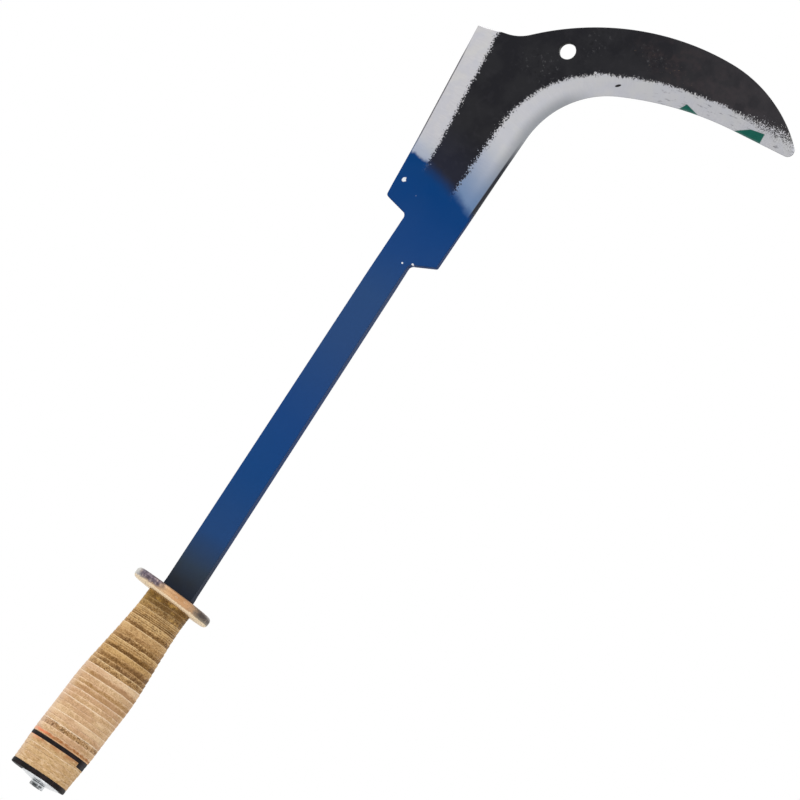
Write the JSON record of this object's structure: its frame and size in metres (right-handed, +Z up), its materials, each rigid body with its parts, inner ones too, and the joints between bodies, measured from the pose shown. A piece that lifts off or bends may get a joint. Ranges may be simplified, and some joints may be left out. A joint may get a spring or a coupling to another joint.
{
  "type": "long-shank billhook",
  "caption": "Hooked pruning blade on a long flat shank, with an oval guard and a grip of stacked leather washers clamped by a nut at the butt.",
  "frame": {"origin": "centre of the hang hole, half way through the blade", "axes": "+Z up along the shank towards the blade, +X towards the hook's point, +Y square to the blade's faces"},
  "size_m": [0.2024, 0.034, 0.566],
  "materials": {
    "painted_steel": "forged steel: satin blue paint on the shank, dark scale on the blade's flats, bright ground edges",
    "guard_steel": "worn metal with a smooth rounded rim",
    "brown_leather": "sanded edges of stacked washers, golden brown",
    "tan_leather": "sanded edges of stacked washers, pale tan",
    "black_fibre": "dull black pressed fibre",
    "bright_steel": "bright plated steel"
  },
  "bodies": {
    "root": {"blade": "painted_steel", "guard": "guard_steel", "leather_washer_01": "brown_leather", "leather_washer_02": "brown_leather", "leather_washer_03": "brown_leather", "leather_washer_04": "brown_leather", "leather_washer_05": "brown_leather", "leather_washer_06": "brown_leather", "leather_washer_07": "brown_leather", "leather_washer_08": "brown_leather", "leather_washer_09": "brown_leather", "leather_washer_10": "brown_leather", "leather_washer_11": "brown_leather", "leather_washer_12": "brown_leather", "leather_washer_13": "brown_leather", "leather_washer_14": "brown_leather", "leather_washer_15": "brown_leather", "leather_washer_16": "brown_leather", "leather_washer_17": "tan_leather", "leather_washer_18": "tan_leather", "leather_washer_19": "tan_leather", "leather_washer_20": "tan_leather", "leather_washer_21": "tan_leather", "leather_washer_22": "tan_leather", "leather_washer_23": "tan_leather", "leather_washer_24": "tan_leather", "leather_washer_25": "tan_leather", "leather_washer_26": "tan_leather", "leather_washer_27": "tan_leather", "leather_washer_28": "tan_leather", "leather_washer_29": "tan_leather", "leather_washer_30": "tan_leather", "leather_washer_31": "tan_leather", "leather_washer_32": "tan_leather", "leather_washer_33": "tan_leather", "leather_washer_34": "tan_leather", "leather_washer_35": "tan_leather", "leather_washer_36": "tan_leather", "fibre_spacer": "black_fibre", "butt_washer": "black_fibre", "end_plate": "bright_steel", "hex_nut": "bright_steel"}
  },
  "joints": []
}
